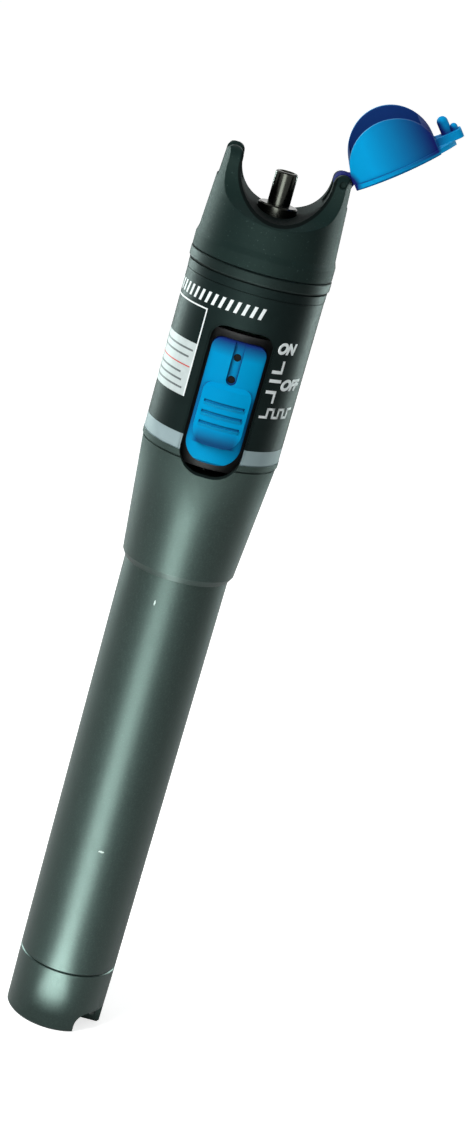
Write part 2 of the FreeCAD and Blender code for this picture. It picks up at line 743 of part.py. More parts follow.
def power_trimmer():
    """The small potentiometer that sets the laser's power, with its screwdriver cross."""
    half = TRIMMER_SIDE / 2
    x = TRIMMER_X
    z = board_middle_z
    top_y = BOARD_BACK_Y + TRIMMER_DEPTH + TRIMMER_DIAL_RISE
    body = box(x - half, x + half, BOARD_BACK_Y, BOARD_BACK_Y + TRIMMER_DEPTH, z - half, z + half)
    body = body.fuse(rod_y(TRIMMER_DIAL_R, BOARD_BACK_Y, top_y, x, z))
    for half_x, half_z in ((TRIMMER_CROSS / 2, TRIMMER_DIAL_R), (TRIMMER_DIAL_R, TRIMMER_CROSS / 2)):
        body = body.cut(box(x - half_x, x + half_x, top_y - TRIMMER_DIAL_RISE, top_y,
                            z - half_z, z + half_z))
    return body


def ground_strip():
    """A bent strip from the board to the barrel, which carries the cells' negative side."""
    low = board_bottom_z + GROUND_STRIP_Z - GROUND_STRIP_DROP
    high = board_bottom_z + GROUND_STRIP_Z
    thickness = GROUND_STRIP_THICKNESS
    near_x = -BOARD_WIDTH / 2 + RAIL_HALF_Y
    foot = box(near_x, near_x + GROUND_STRIP_WIDTH, BOARD_BACK_Y, BOARD_BACK_Y + thickness, low, high)
    reach_y = math.sqrt(barrel_bore_r ** 2 - near_x ** 2) - PRESS_CLEARANCE
    arm = box(near_x, near_x + GROUND_STRIP_WIDTH, BOARD_BACK_Y, reach_y, high - thickness, high)
    leaf = box(near_x, near_x + GROUND_STRIP_WIDTH, reach_y - thickness, reach_y,
               high - GROUND_STRIP_DROP, high)
    return foot.fuse(arm).fuse(leaf)


# ---- Head and ferrule port --------------------------------------------------------------------

def channel_outline(margin):
    """The U of the channel as a start point and steps in X and Z, open at the top."""
    radius = channel_r + margin
    start = (-radius, FAR + head_top_z)
    steps = [
        (-radius, channel_centre_z),
        ((0, channel_centre_z - radius), (radius, channel_centre_z)),
        (radius, FAR + head_top_z),
    ]
    return start, steps


def channel_flare(side):
    """The wide mouth of the channel where it leaves the head's side."""
    outlines = []
    for margin, depth in ((0.0, -CHANNEL_FLARE_DEPTH), (CHANNEL_FLARE, 0.0),
                          (2 * CHANNEL_FLARE, CHANNEL_FLARE_DEPTH)):
        start, steps = channel_outline(margin)
        y = side * (head_body_r - HEAD_EDGE + depth)
        outlines.append(wire_through(start, steps, lambda x, z, y=y: Vector(x, y, z)))
    return Part.makeLoft(outlines, True, True)


def prong_side_profile():
    """The head seen along X: full width below, narrowing to the round-cornered ears."""
    half = EAR_HALF_WIDTH
    corner = EAR_CORNER_R
    reach = head_collar_r + 1
    slope_z = head_top_z - EAR_SLOPE_Z
    half_angle = math.atan2(EAR_BLEND_WIDTH, EAR_BLEND_HEIGHT)
    blend_r = EAR_BLEND_HEIGHT / math.sin(2 * half_angle)
    blend_y = half + EAR_BLEND_WIDTH
    blend_z = slope_z - EAR_BLEND_HEIGHT
    middle_y = half + blend_r * (1 - math.cos(half_angle))
    middle_z = slope_z - blend_r * math.sin(half_angle)
    slope_foot_z = blend_z - (reach - blend_y) / math.tan(2 * half_angle)
    low = head_bottom_z - 1
    return prism_x((-reach, low), [
        (reach, low),
        (reach, slope_foot_z),
        (blend_y, blend_z),
        ((middle_y, middle_z), (half, slope_z)),
        (half, head_top_z - corner),
        corner_arc(half - corner, head_top_z - corner, corner, 0, 90),
        (-half + corner, head_top_z),
        corner_arc(-half + corner, head_top_z - corner, corner, 90, 180),
        (-half, slope_z),
        ((-middle_y, middle_z), (-blend_y, blend_z)),
        (-reach, slope_foot_z),
    ], -FAR, FAR)


def head_shell():
    skirt_r = head_spigot_r + THREAD_CLEARANCE
    collar_top = head_bottom_z + HEAD_COLLAR_HEIGHT
    body = turned((skirt_r, head_bottom_z), [
        (head_collar_r - HEAD_EDGE, head_bottom_z),
        (head_collar_r, head_bottom_z + HEAD_EDGE),
        (head_collar_r, collar_top),
        (head_body_r, collar_top + HEAD_COLLAR_SLOPE),
        (head_top_r, head_top_z),
        (0, head_top_z),
        (0, housing_top_z),
        (skirt_r, housing_top_z),
    ])
    start, steps = channel_outline(0.0)
    body = body.cut(prism_y(start, steps, -FAR, FAR))
    for side in (-1, 1):
        body = body.cut(channel_flare(side))
    body = body.common(prong_side_profile())
    body = body.cut(ear_rounding(1)).cut(ear_rounding(-1))
    slot_floor = head_top_z - EAR_SLOT_DEPTH
    body = body.cut(box(-FAR, FAR, -EAR_SLOT_WIDTH / 2, EAR_SLOT_WIDTH / 2, slot_floor, FAR + head_top_z))
    body = body.cut(rod_y(HINGE_PIN_R + PRESS_CLEARANCE, -EAR_HALF_WIDTH - 1, EAR_HALF_WIDTH + 1,
                          hinge_x, hinge_z))
    body = body.cut(cylinder(FLANGE_R + THREAD_CLEARANCE, flange_bottom_z, head_top_z))
    body = body.cut(cylinder(STEM_R + THREAD_CLEARANCE, housing_top_z, head_top_z))
    return body.removeSplitter()


def ear_rounding(side):
    """What is cut from an ear's top to leave a half-round seen along Y."""
    centre_x = side * (channel_r + EAR_R)
    centre_z = head_top_z - EAR_R
    block = box(centre_x - 2 * EAR_R, centre_x + 2 * EAR_R, -FAR, FAR, centre_z, head_top_z + 1)
    return block.cut(rod_y(EAR_R, -FAR, FAR, centre_x, centre_z))


def ferrule_flange():
    """The metal port: a flange on the head, the sleeve's holder above, a threaded stem below."""
    stem_bottom = housing_top_z - STEM_INTO_HOUSING
    sleeve_bottom = sleeve_top_z - SLEEVE_LENGTH
    sleeve_room_r = SLEEVE_R + PRESS_CLEARANCE
    return turned((LIGHT_BORE_R, stem_bottom), [
        (STEM_R, stem_bottom),
        (STEM_R, flange_bottom_z),
        (FLANGE_R, flange_bottom_z),
        (FLANGE_R, flange_top_z - FLANGE_EDGE),
        (FLANGE_R - FLANGE_EDGE, flange_top_z),
        (HOLDER_R, flange_top_z),
        (HOLDER_R, holder_top_z - FLANGE_EDGE),
        (HOLDER_R - FLANGE_EDGE, holder_top_z),
        (HOLDER_LIP_BORE_R, holder_top_z),
        (HOLDER_LIP_BORE_R, holder_top_z - HOLDER_LIP),
        (sleeve_room_r, holder_top_z - HOLDER_LIP),
        (sleeve_room_r, sleeve_bottom),
        (LIGHT_BORE_R, sleeve_bottom),
    ])


def split_sleeve():
    bottom = sleeve_top_z - SLEEVE_LENGTH
    sleeve = tube(SLEEVE_R, SLEEVE_BORE_R, bottom, sleeve_top_z)
    return sleeve.cut(box(0, 2 * SLEEVE_R, -SLEEVE_SLIT / 2, SLEEVE_SLIT / 2, bottom, sleeve_top_z))


# ---- Laser module --------------------------------------------------------------------------------

def lens_bottom_z():
    thread_bottom = housing_top_z - STEM_INTO_HOUSING
    return thread_bottom - RETAINER_THICKNESS - LENS_RIM - 2 * PRESS_CLEARANCE


def laser_housing():
    diode_r = DIODE_FLANGE_R + PRESS_CLEARANCE
    diode_top = housing_bottom_z + DIODE_SEAT + DIODE_FLANGE_THICKNESS
    lens_r = STEM_R + THREAD_CLEARANCE
    return turned((diode_r, housing_bottom_z), [
        (HOUSING_R, housing_bottom_z),
        (HOUSING_R, housing_top_z),
        (lens_r, housing_top_z),
        (lens_r, lens_bottom_z()),
        (HOUSING_LIGHT_R, lens_bottom_z()),
        (HOUSING_LIGHT_R, diode_top),
        (diode_r, diode_top),
    ])


def focus_lens():
    """A lens with a flat underside, a rim that the retainer holds and a domed upper face."""
    bottom = lens_bottom_z()
    rim_top = bottom + LENS_RIM
    rise = LENS_DOME_HEIGHT
    sphere_r = (LENS_DOME_R ** 2 + rise ** 2) / (2 * rise)
    half_angle = math.asin(LENS_DOME_R / sphere_r) / 2
    dome_middle = (sphere_r * math.sin(half_angle), rim_top + rise - sphere_r * (1 - math.cos(half_angle)))
    return turned((0, bottom), [
        (LENS_R, bottom),
        (LENS_R, rim_top),
        (LENS_DOME_R, rim_top),
        (dome_middle, (0, rim_top + rise)),
    ])


def lens_retainer():
    bottom = lens_bottom_z() + LENS_RIM
    top = bottom + RETAINER_THICKNESS
    half = RETAINER_SLOT / 2
    bore_r = LENS_DOME_R + THREAD_CLEARANCE
    ring = tube(STEM_R, bore_r, bottom, top)
    return ring.cut(box(-FAR, FAR, -half, half, top - RETAINER_SLOT, top))


def laser_diode():
    bottom = housing_bottom_z + DIODE_SEAT
    flange_top = bottom + DIODE_FLANGE_THICKNESS
    diode = cylinder(DIODE_FLANGE_R, bottom, flange_top)
    diode = diode.fuse(cylinder(DIODE_CAN_R, flange_top, flange_top + DIODE_CAN_HEIGHT))
    for turn in (0, 90, 180):
        x = DIODE_LEAD_CIRCLE_R * math.cos(math.radians(turn))
        y = DIODE_LEAD_CIRCLE_R * math.sin(math.radians(turn))
        diode = diode.fuse(cylinder(DIODE_LEAD_R, bottom - DIODE_LEAD_LENGTH, bottom, x, y))
    return diode


# ---- Dust cap --------------------------------------------------------------------------------------

def cap_levels():
    """The underside and the top of the closed cap's plate."""
    under = head_top_z - CAP_PLATE_LIFT
    return under, under + CAP_PLATE_THICKNESS


def cap_plug():
    """The hollow plug of the closed cap: upright walls whose lower edge follows the channel."""
    under, top = cap_levels()
    radius = channel_r - MOVING_GAP
    outline = prism_y((-radius, top), [
        (-radius, channel_centre_z),
        ((0, channel_centre_z - radius), (radius, channel_centre_z)),
        (radius, top),
    ], -FAR, FAR)
    plug = outline.common(cylinder(plug_outer_r, channel_bottom_z, top))
    inside = box(-radius + PLUG_WALL, radius - PLUG_WALL, -FAR, FAR, channel_bottom_z - 1, under)
    inside = inside.common(cylinder(plug_outer_r - PLUG_WALL, channel_bottom_z - 1, under))
    return plug.cut(inside)


def cap_plate():
    """The closed cap's plate: domed, straight at the hinge, notched for the far prong's ears."""
    under, top = cap_levels()
    inner = channel_r - MOVING_GAP
    half_y = EAR_HALF_WIDTH + MOVING_GAP
    reach = cap_plate_r
    slab = prism_x((-reach, under), [
        (reach, under),
        (reach, top - CAP_DOME),
        ((0, top), (-reach, top - CAP_DOME)),
    ], -reach, reach)
    plate = slab.common(cylinder(reach, under, top))
    plate = plate.cut(box(-FAR, -inner, -half_y, half_y, under, top))
    return plate.cut(box(inner, FAR, -FAR, FAR, under, top))


def cap_knuckle():
    """The barrel of the hinge and the neck that joins it to the plate."""
    under, top = cap_levels()
    half_y = EAR_SLOT_WIDTH / 2 - SLIDE_CLEARANCE
    edge = channel_r - MOVING_GAP
    knuckle = rod_y(EAR_R, -half_y, half_y, hinge_x, hinge_z)
    neck = prism_y((edge - PLUG_WALL, hinge_z), [
        (hinge_x, hinge_z - EAR_R),
        (hinge_x, hinge_z + EAR_R),
        (edge, top - CAP_DOME),
        (edge - PLUG_WALL, top - CAP_DOME),
    ], -half_y, half_y)
    return knuckle.fuse(neck)


def cap_tongue():
    """The tongue that lies in the far prong's slot, with its knob and a lower bump."""
    under, top = cap_levels()
    half_y = EAR_SLOT_WIDTH / 2 - SLIDE_CLEARANCE
    start_x = -channel_r + MOVING_GAP + PLUG_WALL
    end_x = -channel_r + MOVING_GAP - TONGUE_LENGTH
    level = top - CAP_DOME
    tongue = box(end_x, start_x, -half_y, half_y, level - TONGUE_THICKNESS, level)
    corners = box(end_x, end_x + TONGUE_END_R, -half_y, half_y, level - TONGUE_THICKNESS, level)
    for side in (-1, 1):
        centre_y = side * (half_y - TONGUE_END_R)
        corners = corners.cut(cylinder(TONGUE_END_R, level - TONGUE_THICKNESS, level,
                                       end_x + TONGUE_END_R, centre_y))
    corners = corners.cut(box(end_x, end_x + TONGUE_END_R, -half_y + TONGUE_END_R,
                              half_y - TONGUE_END_R, level - TONGUE_THICKNESS, level))
    tongue = tongue.cut(corners)
    knob_x = hinge_x - KNOB_FROM_HINGE
    knob = cylinder(KNOB_R, under - KNOB_HEIGHT + KNOB_R, level - TONGUE_THICKNESS / 2, knob_x, 0)
    knob = knob.fuse(Part.makeSphere(KNOB_R, Vector(knob_x, 0, under - KNOB_HEIGHT + KNOB_R)))
    bump_x = knob_x - CATCH_STEP
    bump = cylinder(CATCH_R, under - CATCH_HEIGHT + CATCH_R, level - TONGUE_THICKNESS / 2, bump_x, 0)
    bump = bump.fuse(Part.makeSphere(CATCH_R, Vector(bump_x, 0, under - CATCH_HEIGHT + CATCH_R)))
    return tongue.fuse(knob).fuse(bump)


def dust_cap():
    cap = cap_plug().fuse(cap_plate()).fuse(cap_knuckle()).fuse(cap_tongue())
    cap = cap.cut(rod_y(HINGE_PIN_R + HINGE_CLEARANCE, -FAR, FAR, hinge_x, hinge_z))
    cap = cap.removeSplitter()
    cap.rotate(Vector(hinge_x, 0, hinge_z), AXIS_Y, CAP_OPEN_ANGLE)
    return cap


def cap_hinge_pin():
    return rod_y(HINGE_PIN_R, -HINGE_PIN_LENGTH / 2, HINGE_PIN_LENGTH / 2, hinge_x, hinge_z)


PIECES = {
    "tail_cap": tail_cap,
    "tail_seal": tail_seal,
    "spring_plate": spring_plate,
    "battery_spring": battery_spring,
    "battery_tube": battery_tube,
    "front_contact": front_contact,
    "barrel": barrel,
    "label_wrap": label_wrap,
    "trim_ring": trim_ring,
    "slider_button": slider_button,
    "slider_pins": slider_pins,
    "slider_carrier": slider_carrier,
    "slide_switch_actuator": slide_switch_actuator,
    "slide_switch_body": slide_switch_body,
    "chassis": chassis,
    "driver_board": driver_board,
    "board_screws": board_screws,
    "board_chip": board_chip,
    "board_capacitor": board_capacitor,
    "power_trimmer": power_trimmer,
    "ground_strip": ground_strip,
    "head_shell": head_shell,
    "ferrule_flange": ferrule_flange,
    "split_sleeve": split_sleeve,
    "laser_housing": laser_housing,
    "focus_lens": focus_lens,
    "lens_retainer": lens_retainer,
    "laser_diode": laser_diode,
    "dust_cap": dust_cap,
    "cap_hinge_pin": cap_hinge_pin,
}


def main():
    os.makedirs("parts", exist_ok=True)
    shapes = {name: make() for name, make in PIECES.items()}
    shapes["battery_cell_rear"] = battery_cell(cell_bottom_z)
    shapes["battery_cell_front"] = battery_cell(cell_bottom_z + CELL_LENGTH)
    for name, shape in shapes.items():
        solids = len(shape.Solids)
        print(f"{name:24s} solids {solids} valid {shape.isValid()} volume {shape.Volume:9.2f}")
        shape.exportStep(os.path.join("parts", name + ".step"))


main()
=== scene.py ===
"""Looks for the visual fault locator: finishes for the CAD pieces, printed marks, light and camera."""
import math

import bmesh
import bpy
from mathutils import Matrix, Vector


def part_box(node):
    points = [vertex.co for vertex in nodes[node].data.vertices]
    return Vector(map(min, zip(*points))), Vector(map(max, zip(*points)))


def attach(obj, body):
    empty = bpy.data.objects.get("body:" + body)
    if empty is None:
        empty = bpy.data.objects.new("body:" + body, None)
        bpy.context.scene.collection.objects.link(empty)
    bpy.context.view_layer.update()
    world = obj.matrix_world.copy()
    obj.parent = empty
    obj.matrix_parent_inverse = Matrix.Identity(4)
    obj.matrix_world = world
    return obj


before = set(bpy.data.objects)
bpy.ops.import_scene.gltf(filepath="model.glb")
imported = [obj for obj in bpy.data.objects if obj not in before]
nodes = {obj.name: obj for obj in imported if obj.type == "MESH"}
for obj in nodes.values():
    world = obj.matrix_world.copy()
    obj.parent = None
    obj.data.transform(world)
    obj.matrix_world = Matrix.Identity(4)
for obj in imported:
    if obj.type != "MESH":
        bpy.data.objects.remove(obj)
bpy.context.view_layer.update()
MM = 0.001


def limits(name):
    """Lowest and highest corners of a CAD piece's box at rest, to the micrometre."""
    return [[round(value, 6) for value in corner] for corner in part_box(name)]


def middle(name):
    """Centre of a CAD piece's box at rest, to the micrometre."""
    return [round((low + high) / 2, 6) for low, high in zip(*limits(name))]


# Places on the CAD pieces, in the frame's metres
CAP_TURN = math.radians(141)
HINGE = middle("cap_hinge_pin")
PLUG_INNER_R = 10.6 * MM
CHANNEL_AXIS = (0, 0, limits("head_shell")[1][2] - 2.1 * MM)
CHANNEL_MOUTH_R = 8.77 * MM
SLIDER_Z = middle("slider_button")[2]
GRIP_RIDGES = [SLIDER_Z - drop * MM for drop in (0.3, 2.2, 4.1)]
PAD_NOSE_Z = SLIDER_Z - 7.85 * MM
BARREL_FOOT_Z = limits("barrel")[0][2]
CONE_GLOSSY_Z = BARREL_FOOT_Z + 12.8 * MM
CONE_DULL_Z = BARREL_FOOT_Z + 22.8 * MM
PALE_BAND_HEIGHT = 2.7 * MM
# Worn nicks on the tube: each one's centre, and how far it is squeezed along x, y and z
NICKS = [
    ((-2.4 * MM, -9.57 * MM, 89.2 * MM), (3.0, 0.6, 0.9)),
    ((0.5 * MM, -9.58 * MM, 38.8 * MM), (0.7, 0.7, 2.4)),
]
NICK_R = 0.42 * MM

ORIGIN = (0, 0, 0)
SIDEWAYS = (1, 0, 0)
BACKWARDS = (0, 1, 0)
UPWARDS = (0, 0, 1)

# Noise textures stay between these two values almost everywhere
NOISE_LOW = 0.3
NOISE_HIGH = 0.7

GREEN_CAST = (0.7, 1.0, 0.91, 1.0)
BLUE_CAST = (0.15, 0.7, 1.0, 1.0)


# ---------------------------------------------------------------- node helpers

def srgb(r, g, b):
    """A colour written as it shows on screen, 0 to 255, as a linear colour."""
    def one(v):
        v /= 255
        return v / 12.92 if v <= 0.04045 else ((v + 0.055) / 1.055) ** 2.4
    return (one(r), one(g), one(b), 1.0)


# Navy for painted shade on the blue plastic
PAINTED_SHADE_BLUE = srgb(24, 28, 100)


class Finish:
    """A node material under construction. Every texture reads object coordinates, in metres."""

    def __init__(self, name, base, roughness, metallic=0.0, specular=0.5, tint=(1, 1, 1, 1)):
        self.material = bpy.data.materials.new(name)
        self.material.use_nodes = True
        self.tree = self.material.node_tree
        self.bsdf = self.tree.nodes["Principled BSDF"]
        self.bsdf.inputs["Base Color"].default_value = base
        self.bsdf.inputs["Roughness"].default_value = roughness
        self.bsdf.inputs["Metallic"].default_value = metallic
        self.bsdf.inputs["Specular IOR Level"].default_value = specular
        self.bsdf.inputs["Specular Tint"].default_value = tint
        self.place = self.node("ShaderNodeTexCoord").outputs["Object"]
        self.normal = None

    def node(self, kind, **settings):
        """Adds a node with the given settings."""
        made = self.tree.nodes.new(kind)
        for key, value in settings.items():
            setattr(made, key, value)
        return made

    def link(self, output, socket):
        self.tree.links.new(output, socket)

    def feed(self, socket, value):
        """Links another node's output to the socket, or sets the socket's own value."""
        if isinstance(value, bpy.types.NodeSocket):
            self.link(value, socket)
        else:
            socket.default_value = value

    def math(self, operation, a, b=0.0):
        made = self.node("ShaderNodeMath", operation=operation)
        self.feed(made.inputs[0], a)
        self.feed(made.inputs[1], b)
        return made.outputs[0]

    def scaled(self, scale):
        """The shaded point's place, stretched along each axis."""
        made = self.node("ShaderNodeMapping")
        self.link(self.place, made.inputs["Vector"])
        made.inputs["Scale"].default_value = scale
        return made.outputs["Vector"]

    def noise(self, scale, detail, roughness=0.55, place=None):
        made = self.node("ShaderNodeTexNoise")
        self.link(place or self.place, made.inputs["Vector"])
        made.inputs["Scale"].default_value = scale
        made.inputs["Detail"].default_value = detail
        made.inputs["Roughness"].default_value = roughness
        return made.outputs["Fac"]

    def ranged(self, value, low, high, to_low=0.0, to_high=1.0):
        """Carries low..high over to to_low..to_high, and stops at both ends."""
        made = self.node("ShaderNodeMapRange")
        self.feed(made.inputs["Value"], value)
        made.inputs["From Min"].default_value = low
        made.inputs["From Max"].default_value = high
        made.inputs["To Min"].default_value = to_low
        made.inputs["To Max"].default_value = to_high
        return made.outputs["Result"]

    def mix(self, factor, a, b):
        made = self.node("ShaderNodeMix", data_type="RGBA")
        self.feed(made.inputs[0], factor)
        self.feed(made.inputs[6], a)
        self.feed(made.inputs[7], b)
        return made.outputs[2]

    def spread(self, noise, to_low=0.0, to_high=1.0):
        """A noise texture's usual range, stretched from to_low to to_high."""
        return self.ranged(noise, NOISE_LOW, NOISE_HIGH, to_low, to_high)

    def drift(self, low, high, scale=90.0, detail=3.0):
        """A colour that wanders slowly between low and high."""
        return self.mix(self.spread(self.noise(scale, detail)), low, high)

    def along(self, start, direction):
        """Distance of the shaded point from start, measured along direction."""
        away = self.node("ShaderNodeVectorMath", operation="SUBTRACT")
        self.link(self.place, away.inputs[0])
        away.inputs[1].default_value = start
        made = self.node("ShaderNodeVectorMath", operation="DOT_PRODUCT")
        self.link(away.outputs[0], made.inputs[0])
        made.inputs[1].default_value = direction
        return made.outputs["Value"]

    def hypot(self, a, b):
        """Length of the line whose parts along two square axes are a and b."""
        squares = self.math("ADD", self.math("MULTIPLY", a, a), self.math("MULTIPLY", b, b))
        return self.math("POWER", squares, 0.5)

    def absolute(self, value):
        return self.math("ABSOLUTE", value)

    def both(self, a, b):
        return self.math("MULTIPLY", a, b)

    def either(self, a, b):
        return self.math("MAXIMUM", a, b)

    def colour_by(self, output):
        self.link(output, self.bsdf.inputs["Base Color"])

    def roughness_by(self, output):
        self.link(output, self.bsdf.inputs["Roughness"])

    def bump(self, height, strength, distance):
        """Adds relief on top of any relief that is already there."""
        made = self.node("ShaderNodeBump")
        made.inputs["Strength"].default_value = strength
        made.inputs["Distance"].default_value = distance
        self.link(height, made.inputs["Height"])
        if self.normal is not None:
            self.link(self.normal, made.inputs["Normal"])
        self.normal = made.outputs["Normal"]

    def rounded_edges(self, radius):
        """Shades sharp edges as if they had the given radius."""
        made = self.node("ShaderNodeBevel", samples=6)
        made.inputs["Radius"].default_value = radius
        self.normal = made.outputs["Normal"]

    def height(self):
        """Height of the shaded point above the pen's foot."""
        made = self.node("ShaderNodeSeparateXYZ")
        self.link(self.place, made.inputs[0])
        return made.outputs["Z"]

    def spots(self, centres, radius, raggedness=0.35):
        """1 inside small ragged spots round the given points, 0 outside."""
        total = None
        ragged = self.spread(self.noise(2600.0, 2.0), -raggedness, raggedness)
        for centre, stretch in centres:
            away = self.node("ShaderNodeVectorMath", operation="SUBTRACT")
            self.link(self.place, away.inputs[0])
            away.inputs[1].default_value = centre
            squeezed = self.node("ShaderNodeVectorMath", operation="MULTIPLY")
            self.link(away.outputs[0], squeezed.inputs[0])
            squeezed.inputs[1].default_value = stretch
            length = self.node("ShaderNodeVectorMath", operation="LENGTH")
            self.link(squeezed.outputs[0], length.inputs[0])
            share = self.math("DIVIDE", length.outputs["Value"], radius)
            inside = self.ranged(self.math("ADD", share, ragged), 1.1, 0.9)
            total = inside if total is None else self.either(total, inside)
        return total

    def done(self):
        """Joins the relief to the shader and gives back the material."""
        if self.normal is not None:
            self.link(self.normal, self.bsdf.inputs["Normal"])
        return self.material


def anodised(name, nicks=(), dull_from=None, dull_to=None):
    """Black anodised aluminium: satin, with a fine blasted grain and a green-grey cast."""
    f = Finish(name, srgb(26, 35, 34), 0.34, specular=0.65, tint=GREEN_CAST)
    f.rounded_edges(0.12 * MM)
    grain = f.noise(3000.0, 2.0, 0.6)
    colour = f.drift(srgb(12, 20, 19), srgb(18, 27, 26), 120.0, 4.0)
    speck = f.ranged(f.noise(3300.0, 1.0), 0.66, 0.76)
    colour = f.mix(f.math("MULTIPLY", speck, 0.25), colour, srgb(70, 88, 84))
    colour = f.mix(f.ranged(grain, 0.45, 0.75, 0.0, 0.35), colour, srgb(52, 66, 63))
    roughness = f.spread(grain, 0.34, 0.48)
    if dull_to is not None:
        roughness = f.math("ADD", roughness, f.ranged(f.height(), dull_from, dull_to, 0.0, 0.3))
    if nicks:
        worn = f.spots(nicks, NICK_R)
        colour = f.mix(worn, colour, srgb(214, 224, 220))
        roughness = f.math("ADD", roughness, f.math("MULTIPLY", worn, 0.15))
    f.colour_by(colour)
    f.roughness_by(roughness)
    f.bump(grain, 0.26, 0.03 * MM)
    return f.done()


def moulded(name, low, high, roughness, grain_scale=2600.0, grain=0.1, edge=0.15, specular=0.5,
            tint=(1, 1, 1, 1)):
    """Moulded plastic: an even colour with slow drift, and a fine spark-eroded skin."""
    f = Finish(name, low, roughness, specular=specular, tint=tint)
    f.rounded_edges(edge * MM)
    f.colour_by(f.drift(low, high))
    skin = f.noise(grain_scale, 3.0)
    f.roughness_by(f.spread(skin, roughness - 0.05, roughness + 0.07))
    f.bump(skin, grain, 0.03 * MM)
    return f.done()


def blue_moulding(name, hollow_reach, painted_shade_elsewhere, low, high):
    """Bright blue plastic with painted shade: navy in its hollows, found by ambient occlusion, and wherever
    the shade function puts it.

    hollow_reach is how far a hollow's walls may be apart; the third argument, the shade function, gives the
    share of painted shade elsewhere."""
    f = Finish(name, low, 0.5, specular=0.07, tint=BLUE_CAST)
    f.rounded_edges(0.1 * MM)
    # Painted shade: the colour turns navy where ambient occlusion finds a hollow, and wherever the shade
    # function asks for it.
    hollow = f.node("ShaderNodeAmbientOcclusion", samples=8)
    hollow.inputs["Distance"].default_value = hollow_reach
    painted_shade_share = f.either(f.ranged(hollow.outputs["AO"], 0.9, 0.35), painted_shade_elsewhere(f))
    f.colour_by(f.mix(painted_shade_share, f.drift(low, high), PAINTED_SHADE_BLUE))
    skin = f.noise(2200.0, 3.0)
    f.roughness_by(f.math("ADD", f.spread(skin, 0.44, 0.56), f.math("MULTIPLY", painted_shade_share, 0.35)))
    f.bump(skin, 0.03, 0.03 * MM)
    return f


def cap_painted_shade(f):
    """Painted shade on the cap: navy inside the plug, growing towards its free end, and round the hinge."""
    reach = f.along(HINGE, (-math.cos(CAP_TURN), 0, math.sin(CAP_TURN)))
    rise = f.along(HINGE, (-math.sin(CAP_TURN), 0, -math.cos(CAP_TURN)))
    side = f.along(HINGE, BACKWARDS)
    wall = f.ranged(rise, -1.15 * MM, -0.5 * MM)
    short_of_tongue = f.ranged(reach, 17.6 * MM, 18.4 * MM, 1.0, 0.25)
    toward_tip = f.ranged(reach, 6.0 * MM, 17.5 * MM)
    # The plug's axis is as far from the hinge as the pen's own axis is
    from_plug_axis = f.hypot(f.math("SUBTRACT", reach, HINGE[0]), side)
    inside = f.ranged(from_plug_axis, PLUG_INNER_R + 1.0 * MM, PLUG_INNER_R + 0.1 * MM, 0.0, 0.92)
    plug = f.both(f.both(wall, short_of_tongue), f.either(toward_tip, inside))
    near_hinge = f.ranged(f.hypot(reach, rise), 3.4 * MM, 2.4 * MM)
    return f.either(plug, near_hinge)


def slider_painted_shade(f):
    """Painted shade on the slider: navy at its upper end, where the slot's edge shades it, and under the
    pad's nose.
    """
    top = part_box("slider_button")[1].z
    upper_end = f.ranged(f.height(), top - 3.0 * MM, top - 0.1 * MM, 0.0, 0.95)
    nose_top = f.ranged(f.height(), PAD_NOSE_Z + 3.4 * MM, PAD_NOSE_Z + 0.6 * MM)
    nose_bottom = f.ranged(f.height(), PAD_NOSE_Z - 0.35 * MM, PAD_NOSE_Z - 0.1 * MM)
    strip = f.ranged(f.absolute(f.along(ORIGIN, SIDEWAYS)), 4.3 * MM, 3.3 * MM)
    nose = f.both(f.both(nose_top, nose_bottom), strip)
    return f.either(upper_end, f.math("MULTIPLY", nose, 0.72))


def cap_moulding():
    """The dust cap's blue plastic."""
    f = blue_moulding("blue_plastic_cap", 12.0 * MM, cap_painted_shade, srgb(0, 146, 206), srgb(0, 154, 212))
    return f.done()


def slider_moulding():
    """The slider's blue plastic, with a soft swelling round each grip ridge."""
    f = blue_moulding("blue_plastic_slider", 4.0 * MM, slider_painted_shade, srgb(0, 140, 196), srgb(0, 150, 204))
    swelling = 0.0
    for ridge_z in GRIP_RIDGES:
        away = f.absolute(f.math("SUBTRACT", f.height(), ridge_z))
        swelling = f.either(f.ranged(away, 0.5 * MM, 0.0), swelling)
    strip = f.ranged(f.absolute(f.along(ORIGIN, SIDEWAYS)), 3.9 * MM, 3.6 * MM)
    f.bump(f.both(swelling, strip), 0.8, 0.35 * MM)
    return f.done()


def metal(name, colour, roughness, lines_depth=0.08, dimming=0.72):
    """Bare or plated metal with faint machining lines, turned about the pen's axis."""
    f = Finish(name, colour, roughness, metallic=1.0)
    f.rounded_edges(0.06 * MM)
    lines = f.noise(260.0, 4.0, 0.6, f.scaled((1.0, 1.0, 22.0)))
    dim = tuple(c * dimming for c in colour[:3]) + (1.0,)
    f.colour_by(f.mix(f.spread(lines), dim, colour))
    f.roughness_by(f.spread(lines, roughness - 0.05, roughness + 0.08))
    f.bump(lines, lines_depth, 0.02 * MM)
    return f.done()


